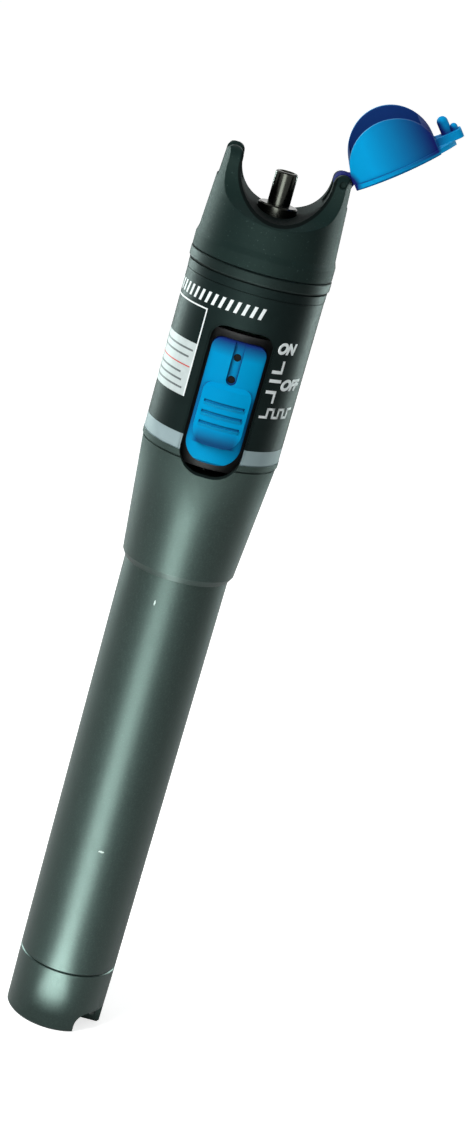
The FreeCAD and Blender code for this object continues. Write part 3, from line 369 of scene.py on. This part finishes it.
def head_moulding():
    """The fork's dark plastic, with painted shade inside the channel that runs through it, which is coloured
    nearly black.
    """
    f = Finish("head_plastic", srgb(16, 28, 27), 0.6, specular=0.12, tint=GREEN_CAST)
    f.rounded_edges(0.25 * MM)
    speck = f.ranged(f.noise(2400.0, 1.0), 0.68, 0.78)
    outer = f.mix(f.math("MULTIPLY", speck, 0.2), f.drift(srgb(17, 30, 29), srgb(22, 36, 34)),
                  srgb(80, 100, 97))
    # The channel is round below its axis and has straight walls above it
    below = f.math("MINIMUM", f.along(CHANNEL_AXIS, UPWARDS), 0.0)
    from_axis = f.hypot(f.along(ORIGIN, SIDEWAYS), below)
    inside = f.ranged(from_axis, CHANNEL_MOUTH_R + 0.04 * MM, CHANNEL_MOUTH_R - 0.04 * MM)
    # Painted shade: inside the channel the colour is nearly black.
    f.colour_by(f.mix(inside, outer, f.drift(srgb(4, 8, 8), srgb(7, 12, 12))))
    skin = f.noise(2600.0, 3.0)
    f.roughness_by(f.math("ADD", f.spread(skin, 0.55, 0.67), f.math("MULTIPLY", inside, 0.22)))
    f.bump(skin, 0.16, 0.03 * MM)
    return f.done()


def film(name):
    """The printed film round the barrel: black, with one pale band at its foot."""
    f = Finish(name, srgb(10, 18, 18), 0.46, specular=0.12, tint=GREEN_CAST)
    band_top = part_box("label_wrap")[0].z + PALE_BAND_HEIGHT
    edge = 0.03 * MM
    band = f.ranged(f.height(), band_top + edge, band_top - edge)
    black = f.drift(srgb(12, 22, 22), srgb(16, 27, 27), 150.0)
    pale = f.drift(srgb(142, 160, 164), srgb(152, 170, 174), 150.0)
    f.colour_by(f.mix(band, black, pale))
    skin = f.noise(1800.0, 3.0)
    f.roughness_by(f.spread(skin, 0.42, 0.52))
    f.bump(skin, 0.07, 0.02 * MM)
    return f.done()


def ink(name, low, high):
    """Screen-printed ink: slightly uneven cover with a dry surface."""
    f = Finish(name, low, 0.5, specular=0.4)
    cover = f.noise(900.0, 3.0)
    f.colour_by(f.mix(f.spread(cover), low, high))
    f.roughness_by(f.spread(cover, 0.44, 0.56))
    return f.done()


def glass():
    """Clear lens glass with a faint smear."""
    f = Finish("lens_glass", (0.9, 0.95, 0.95, 1.0), 0.03)
    f.bsdf.inputs["Transmission Weight"].default_value = 0.95
    f.roughness_by(f.ranged(f.noise(500.0, 2.0), 0.35, 0.75, 0.02, 0.07))
    return f.done()


# ---------------------------------------------------------------- finishes on the CAD pieces

black_metal = anodised("black_anodised")
barrel_metal = anodised("black_anodised_barrel", dull_from=CONE_GLOSSY_Z, dull_to=CONE_DULL_Z)
tube_metal = anodised("black_anodised_tube", NICKS)
head_plastic = head_moulding()
ring_finish = moulded("dark_ring", srgb(12, 21, 21), srgb(16, 26, 25), 0.5, edge=0.18, specular=0.2,
                      tint=GREEN_CAST)
blue_cap = cap_moulding()
blue_slider = slider_moulding()
black_plastic = moulded("black_plastic", srgb(7, 9, 9), srgb(12, 15, 15), 0.5, specular=0.3)
pin_black = moulded("pin_black", srgb(5, 6, 6), srgb(9, 10, 10), 0.7, specular=0.1)
rubber = moulded("seal_rubber", srgb(18, 19, 19), srgb(28, 29, 29), 0.62, 1500.0, 0.2, 0.05)
brass_plated = metal("plated_brass", srgb(196, 196, 190), 0.25)
spring_steel = metal("spring_steel", srgb(168, 170, 172), 0.3)
switch_steel = metal("switch_steel", srgb(176, 180, 182), 0.28)
port_metal = metal("port_metal", srgb(84, 86, 80), 0.2, 0.02, 0.8)
plain_brass = metal("plain_brass", srgb(196, 160, 92), 0.3)
zirconia = moulded("zirconia", srgb(222, 220, 210), srgb(234, 232, 224), 0.2, 900.0, 0.03, 0.05)
board_green = moulded("board", srgb(18, 74, 48), srgb(26, 88, 58), 0.35, 700.0, 0.08, 0.05)
trimmer_blue = moulded("trimmer_blue", srgb(30, 70, 150), srgb(38, 80, 164), 0.35)
cell_sleeve = moulded("cell_sleeve", srgb(52, 54, 58), srgb(66, 68, 72), 0.25, 600.0, 0.03)

FINISHES = {
    "tail_cap": black_metal,
    "tail_seal": rubber,
    "spring_plate": brass_plated,
    "battery_spring": spring_steel,
    "battery_tube": tube_metal,
    "front_contact": brass_plated,
    "barrel": barrel_metal,
    "label_wrap": film("label_film"),
    "trim_ring": ring_finish,
    "slider_button": blue_slider,
    "slider_pins": pin_black,
    "slider_carrier": black_plastic,
    "slide_switch_actuator": black_plastic,
    "slide_switch_body": switch_steel,
    "chassis": black_plastic,
    "driver_board": board_green,
    "board_screws": switch_steel,
    "board_chip": black_plastic,
    "board_capacitor": switch_steel,
    "power_trimmer": trimmer_blue,
    "ground_strip": brass_plated,
    "head_shell": head_plastic,
    "ferrule_flange": port_metal,
    "split_sleeve": zirconia,
    "laser_housing": plain_brass,
    "focus_lens": glass(),
    "lens_retainer": plain_brass,
    "laser_diode": plain_brass,
    "dust_cap": blue_cap,
    "cap_hinge_pin": head_plastic,
    "battery_cell_rear": cell_sleeve,
    "battery_cell_front": cell_sleeve,
}
for name, finish in FINISHES.items():
    mesh = nodes[name].data
    mesh.materials.clear()
    mesh.materials.append(finish)

# Above the label's foot the barrel looks like the film that covers it
barrel_mesh = nodes["barrel"].data
barrel_mesh.materials.append(film("label_film_barrel"))
label_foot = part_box("label_wrap")[0].z - 0.3 * MM
for face in barrel_mesh.polygons:
    corner_heights = [barrel_mesh.vertices[index].co.z for index in face.vertices]
    face.material_index = 1 if min(corner_heights) > label_foot else 0


# ---------------------------------------------------------------- printed marks

LABEL_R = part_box("label_wrap")[1].x
INK_LIFT = 0.012 * MM
INK_THICKNESS = 0.02 * MM
BEND_STEP = 0.35 * MM
LAST_CUT_GAP = 1e-6
CUT_TOLERANCE = 1e-9
LETTER_LEAN = 0.25
LETTER_WEIGHT = 0.06
white_ink = ink("white_ink", srgb(222, 228, 229), srgb(232, 238, 239))
pale_ink = ink("pale_ink", srgb(186, 196, 196), srgb(196, 206, 206))
grey_ink = ink("grey_ink", srgb(84, 92, 94), srgb(98, 106, 108))
red_ink = ink("red_ink", srgb(190, 52, 44), srgb(202, 62, 52))


def wrapped(name, flat, material, lift=INK_LIFT):
    """Bends a flat mesh onto the label and gives it thickness: x runs round from the -Y side, y runs up."""
    work = bmesh.new()
    work.from_mesh(flat)
    xs = [v.co.x for v in work.verts]
    cut = min(xs) + BEND_STEP
    while cut < max(xs) - LAST_CUT_GAP:
        bmesh.ops.bisect_plane(work, geom=work.verts[:] + work.edges[:] + work.faces[:],
                               dist=CUT_TOLERANCE, plane_co=(cut, 0, 0), plane_no=(1, 0, 0))
        cut += BEND_STEP
    bmesh.ops.recalc_face_normals(work, faces=work.faces[:])
    if work.faces and sum(f.normal.z for f in work.faces) < 0:
        bmesh.ops.reverse_faces(work, faces=work.faces[:])
    top = bmesh.ops.extrude_face_region(work, geom=work.faces[:])
    for v in top["geom"]:
        if isinstance(v, bmesh.types.BMVert):
            v.co.z += INK_THICKNESS
    for v in work.verts:
        radius = LABEL_R + lift + v.co.z
        angle = v.co.x / LABEL_R
        v.co = Vector((radius * math.sin(angle), -radius * math.cos(angle), v.co.y))
    mesh = bpy.data.meshes.new(name)
    bmesh.ops.recalc_face_normals(work, faces=work.faces[:])
    work.to_mesh(mesh)
    work.free()
    mesh.materials.append(material)
    piece = bpy.data.objects.new(name, mesh)
    bpy.context.scene.collection.objects.link(piece)
    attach(piece, "case")


def flat_mesh(outlines):
    """Flat faces, each given by its corners (x, y), as one mesh."""
    work = bmesh.new()
    for corners in outlines:
        work.faces.new([work.verts.new((x, y, 0)) for x, y in corners])
    mesh = bpy.data.meshes.new("flat")
    work.to_mesh(mesh)
    work.free()
    return mesh


def flat_bars(bars):
    """Flat rectangles (x0, x1, y0, y1) as one mesh, in metres."""
    return flat_mesh([((x0, y0), (x1, y0), (x1, y1), (x0, y1)) for x0, x1, y0, y1 in bars])


def flat_text(words, x0, x1, y0, y1):
    """Bold leaning letters that fill the given rectangle, in metres."""
    curve = bpy.data.curves.new("words", "FONT")
    curve.body = words
    curve.size = 1.0
    curve.shear = LETTER_LEAN
    curve.offset = LETTER_WEIGHT
    curve.resolution_u = 6
    holder = bpy.data.objects.new("words", curve)
    bpy.context.scene.collection.objects.link(holder)
    bpy.context.view_layer.update()
    mesh = bpy.data.meshes.new_from_object(holder.evaluated_get(bpy.context.evaluated_depsgraph_get()))
    bpy.data.objects.remove(holder)
    xs = [v.co.x for v in mesh.vertices]
    ys = [v.co.y for v in mesh.vertices]
    for v in mesh.vertices:
        v.co.x = x0 + (v.co.x - min(xs)) / (max(xs) - min(xs)) * (x1 - x0)
        v.co.y = y0 + (v.co.y - min(ys)) / (max(ys) - min(ys)) * (y1 - y0)
        v.co.z = 0
    return mesh


def arc(degrees):
    """Distance round the label that spans the given angle."""
    return math.radians(degrees) * LABEL_R


def on_label(height):
    """The frame's height of a place that is so many mm above the label's foot."""
    return limits("label_wrap")[0][2] + height * MM


def pulse_bars(x0, x1, z0, z1, periods, line):
    """A square wave drawn with bars: the usual mark for a blinking setting."""
    bars = []
    half = (x1 - x0 - line) / (2 * periods)
    for index in range(2 * periods):
        left = x0 + index * half
        level = z0 if index % 2 == 0 else z1 - line
        bars.append((left, left + half + line, level, level + line))
        if index:
            bars.append((left, left + line, z0, z1))
    return bars


STROKE_WIDTH = 0.62 * MM
STROKE_PITCH = 1.5 * MM
STROKE_LEAN = 0.55 * MM


def slanted_bars(x0, x1, z0, z1):
    """A row of leaning strokes as one flat mesh."""
    outlines = []
    left = x0
    while left + STROKE_WIDTH + STROKE_LEAN <= x1:
        foot = left + STROKE_WIDTH
        outlines.append(((left, z0), (foot, z0), (foot + STROKE_LEAN, z1), (left + STROKE_LEAN, z1)))
        left += STROKE_PITCH
    return flat_mesh(outlines)


# The switch legend, right of the slot; angles are from the front
LETTER_HEIGHT = 2.2 * MM
ON_Z = on_label(21.05)
OFF_Z = on_label(14.35)
DASH_Z = on_label(15.8)
UPPER_BRACKET_Z = on_label(17.45)
UPPER_BRACKET_TOP = on_label(19.9)
LOWER_BRACKET_Z = on_label(11.95)
LOWER_BRACKET_TOP = on_label(14.3)
PULSE_Z = on_label(9.05)
PULSE_TOP = on_label(11.05)
LINE = 0.6 * MM
PULSE_LINE = 0.46 * MM
PULSE_PERIODS = 3

on_word = flat_text("ON", arc(31), arc(50), ON_Z, ON_Z + LETTER_HEIGHT)
off_word = flat_text("OFF", arc(44), arc(71), OFF_Z, OFF_Z + LETTER_HEIGHT)
wrapped("mark_on", on_word, white_ink)
wrapped("mark_off", off_word, white_ink)
wrapped("mark_dash", flat_bars([(arc(31), arc(43), DASH_Z, DASH_Z + LINE)]), white_ink)
wrapped("mark_bracket_upper", flat_bars([
    (arc(39.4), arc(41.6), UPPER_BRACKET_Z, UPPER_BRACKET_TOP),
    (arc(31), arc(39.4), UPPER_BRACKET_Z, UPPER_BRACKET_Z + LINE)]), white_ink)
wrapped("mark_bracket_lower", flat_bars([
    (arc(38.6), arc(40.8), LOWER_BRACKET_Z, LOWER_BRACKET_TOP),
    (arc(30.5), arc(38.6), LOWER_BRACKET_TOP - LINE, LOWER_BRACKET_TOP)]), white_ink)
wrapped("mark_pulse", flat_bars(
    pulse_bars(arc(30.5), arc(70), PULSE_Z, PULSE_TOP, PULSE_PERIODS, PULSE_LINE)), white_ink)

# The plain field left of the slot: a thin frame, a dark upper half, a pale lower half with ruled lines
FIELD_LEFT = arc(-101)
FIELD_RIGHT = arc(-35)
FIELD_FOOT = on_label(9.15)
FIELD_TOP = on_label(25.55)
FIELD_SPLIT = on_label(18.85)
FIELD_LINE = 0.26 * MM
RULED_LINE = 0.34 * MM
RULES_LEFT = FIELD_LEFT + 1.2 * MM
DIVIDER_LEFT = FIELD_LEFT + 0.8 * MM
DIVIDER_RIGHT = FIELD_RIGHT - 0.5 * MM
DIVIDER_Z = on_label(14.35)
DIVIDER_LINE = 0.22 * MM
# Each ruled line's height above the label's foot and its distance from the field's right edge, in mm
RULES = ((17.25, 0.7), (15.95, 1.3), (12.85, 2.2), (11.55, 1.6), (10.25, 1.0))
ON_INK = INK_LIFT + INK_THICKNESS

wrapped("field_frame", flat_bars([
    (FIELD_LEFT, FIELD_RIGHT, FIELD_TOP - FIELD_LINE, FIELD_TOP),
    (FIELD_LEFT, FIELD_LEFT + FIELD_LINE, FIELD_FOOT, FIELD_TOP),
    (FIELD_RIGHT - FIELD_LINE, FIELD_RIGHT, FIELD_FOOT, FIELD_TOP)]), white_ink)
wrapped("field_pale", flat_bars([
    (FIELD_LEFT + FIELD_LINE, FIELD_RIGHT - FIELD_LINE, FIELD_FOOT, FIELD_SPLIT)]), pale_ink)
wrapped("field_rules", flat_bars([
    (RULES_LEFT, FIELD_RIGHT - inset * MM, on_label(level), on_label(level) + RULED_LINE)
    for level, inset in RULES]), grey_ink, lift=ON_INK)
wrapped("field_divider", flat_bars([
    (DIVIDER_LEFT, DIVIDER_RIGHT, DIVIDER_Z, DIVIDER_Z + DIVIDER_LINE)]), red_ink, lift=ON_INK)

# A row of plain strokes above the slot
STROKES_FOOT = on_label(26.45)
STROKES_TOP = on_label(28.55)
wrapped("upper_strokes", slanted_bars(FIELD_LEFT, arc(15), STROKES_FOOT, STROKES_TOP), white_ink)


# ---------------------------------------------------------------- floor, light and camera

FLOOR_R = 6.0
FLOOR_GLOW = 0.7
WORLD_DIFFUSE = 0.35
# Strength in reflections: beside and in front of the pen, and from BEHIND_FROM on behind it
WORLD_BESIDE = 0.13
WORLD_BEHIND = 1.0
BEHIND_FROM = 0.6


def stage_floor():
    """A pale paper floor that looks white to the camera and still keeps the pen's shadow."""
    work = bmesh.new()
    bmesh.ops.create_circle(work, cap_ends=True, segments=96, radius=FLOOR_R)
    mesh = bpy.data.meshes.new("floor")
    work.to_mesh(mesh)
    work.free()
    f = Finish("floor_paper", (0.9, 0.9, 0.9, 1.0), 0.9)
    f.colour_by(f.drift((0.88, 0.88, 0.88, 1.0), (0.9, 0.9, 0.9, 1.0), 40.0, 2.0))
    glow = f.node("ShaderNodeEmission")
    glow.inputs["Color"].default_value = (1, 1, 1, 1)
    path = f.node("ShaderNodeLightPath")
    f.link(f.math("MULTIPLY", path.outputs["Is Camera Ray"], FLOOR_GLOW), glow.inputs["Strength"])
    both = f.node("ShaderNodeAddShader")
    f.link(f.bsdf.outputs[0], both.inputs[0])
    f.link(glow.outputs[0], both.inputs[1])
    f.link(both.outputs[0], f.tree.nodes["Material Output"].inputs["Surface"])
    mesh.materials.append(f.material)
    floor = bpy.data.objects.new("floor", mesh)
    bpy.context.scene.collection.objects.link(floor)


def white_world():
    """White where the camera looks; in reflections bright behind the pen and dim beside it."""
    world = bpy.data.worlds.new("studio")
    bpy.context.scene.world = world
    world.use_nodes = True
    tree = world.node_tree
    ground = tree.nodes["Background"]
    ground.inputs["Color"].default_value = (1, 1, 1, 1)
    path = tree.nodes.new("ShaderNodeLightPath")
    place = tree.nodes.new("ShaderNodeTexCoord")
    split = tree.nodes.new("ShaderNodeSeparateXYZ")
    tree.links.new(place.outputs["Generated"], split.inputs[0])
    mirrored = tree.nodes.new("ShaderNodeMapRange")
    mirrored.inputs["From Min"].default_value = 0.0
    mirrored.inputs["From Max"].default_value = BEHIND_FROM
    mirrored.inputs["To Min"].default_value = WORLD_BESIDE
    mirrored.inputs["To Max"].default_value = WORLD_BEHIND
    tree.links.new(split.outputs["Y"], mirrored.inputs["Value"])

    def pick(switch, low, high):
        """High where the ray is of the switch's kind, low elsewhere."""
        made = tree.nodes.new("ShaderNodeMix")
        tree.links.new(switch, made.inputs[0])
        for socket, value in ((made.inputs[2], low), (made.inputs[3], high)):
            if isinstance(value, bpy.types.NodeSocket):
                tree.links.new(value, socket)
            else:
                socket.default_value = value
        return made.outputs[0]

    strength = pick(path.outputs["Is Glossy Ray"], WORLD_DIFFUSE, mirrored.outputs["Result"])
    strength = pick(path.outputs["Is Transmission Ray"], strength, 1.0)
    strength = pick(path.outputs["Is Camera Ray"], strength, 1.0)
    tree.links.new(strength, ground.inputs["Strength"])


PLAIN = (0.97, 1.0, 0.985)
COOL = (0.8, 1.0, 0.96)
AT_TUBE = (0, 0, 0.1)
AT_LABEL = (0, 0, 0.12)
LOW_LAMP_Z = 0.003
LOW_LAMP_TURN = -11


def panel(name, place, aim, size, watts, turn=0.0, gloss=True, diffuse=True, hue=PLAIN):
    """A rectangular lamp of the given width and height that faces aim, then turned about the upright axis."""
    lamp = bpy.data.lights.new(name, "AREA")
    lamp.shape = "RECTANGLE"
    lamp.size, lamp.size_y = size
    lamp.energy = watts
    lamp.color = hue
    holder = bpy.data.objects.new(name, lamp)
    bpy.context.scene.collection.objects.link(holder)
    holder.location = place
    facing = (Vector(aim) - Vector(place)).to_track_quat("-Z", "Y").to_matrix().to_4x4()
    holder.rotation_euler = (Matrix.Rotation(math.radians(turn), 4, "Z") @ facing).to_euler()
    holder.visible_camera = False
    holder.visible_glossy = gloss
    holder.visible_diffuse = diffuse


def floor_panel(name, x, y, size, watts):
    """A lamp on the floor in front of the pen, which only shows in its gloss."""
    panel(name, (x, y, LOW_LAMP_Z), (x, y, 1), size, watts, turn=LOW_LAMP_TURN, diffuse=False)


stage_floor()
white_world()
panel("front_panel", (-0.12, -0.55, 0.26), AT_TUBE, (0.32, 0.46), 2.2, diffuse=False)
panel("key_panel", (-0.3, -0.32, 0.56), AT_LABEL, (0.22, 0.22), 3.6, gloss=False)
floor_panel("low_near", -0.007, -0.036, (0.017, 0.042), 0.038)
floor_panel("low_middle", -0.019, -0.1, (0.056, 0.086), 0.19)
floor_panel("low_far", -0.047, -0.24, (0.13, 0.194), 0.94)
panel("left_rim", (-0.38, 0.34, 0.16), AT_TUBE, (0.24, 0.42), 3.6, diffuse=False, hue=COOL)
panel("right_rim", (0.4, 0.36, 0.16), AT_TUBE, (0.14, 0.42), 2.6, diffuse=False, hue=COOL)

CAMERA_AZIMUTH = math.radians(-3.2)
CAMERA_ELEVATION = math.radians(16.5)
CAMERA_ROLL = math.radians(16.06)
CAMERA_TARGET = Vector((0, 0, 0.1524))
CAMERA_RIGHT = 0.01073
CAMERA_DOWN = 0.05365
CAMERA_BACK = 0.4486
LENS = 78.8
SENSOR_WIDTH = 36.0


def place_camera():
    """The camera, a little above the pen and rolled so that the pen leans."""
    level = math.cos(CAMERA_ELEVATION)
    ahead = Vector((-math.sin(CAMERA_AZIMUTH) * level, math.cos(CAMERA_AZIMUTH) * level,
                    -math.sin(CAMERA_ELEVATION)))
    right = Vector((math.cos(CAMERA_AZIMUTH), math.sin(CAMERA_AZIMUTH), 0))
    up = right.cross(ahead)
    rolled_up = math.cos(CAMERA_ROLL) * up - math.sin(CAMERA_ROLL) * right
    rolled_right = math.cos(CAMERA_ROLL) * right + math.sin(CAMERA_ROLL) * up
    lens = bpy.data.cameras.new("camera")
    lens.lens = LENS
    lens.sensor_width = SENSOR_WIDTH
    lens.clip_start = 0.01
    camera = bpy.data.objects.new("camera", lens)
    bpy.context.scene.collection.objects.link(camera)
    place = CAMERA_TARGET + CAMERA_RIGHT * right - CAMERA_DOWN * up - CAMERA_BACK * ahead
    turn = Matrix((rolled_right, rolled_up, -ahead)).transposed()
    camera.matrix_world = Matrix.Translation(place) @ turn.to_4x4()
    bpy.context.scene.camera = camera


place_camera()
bpy.context.scene.view_settings.view_transform = "Standard"
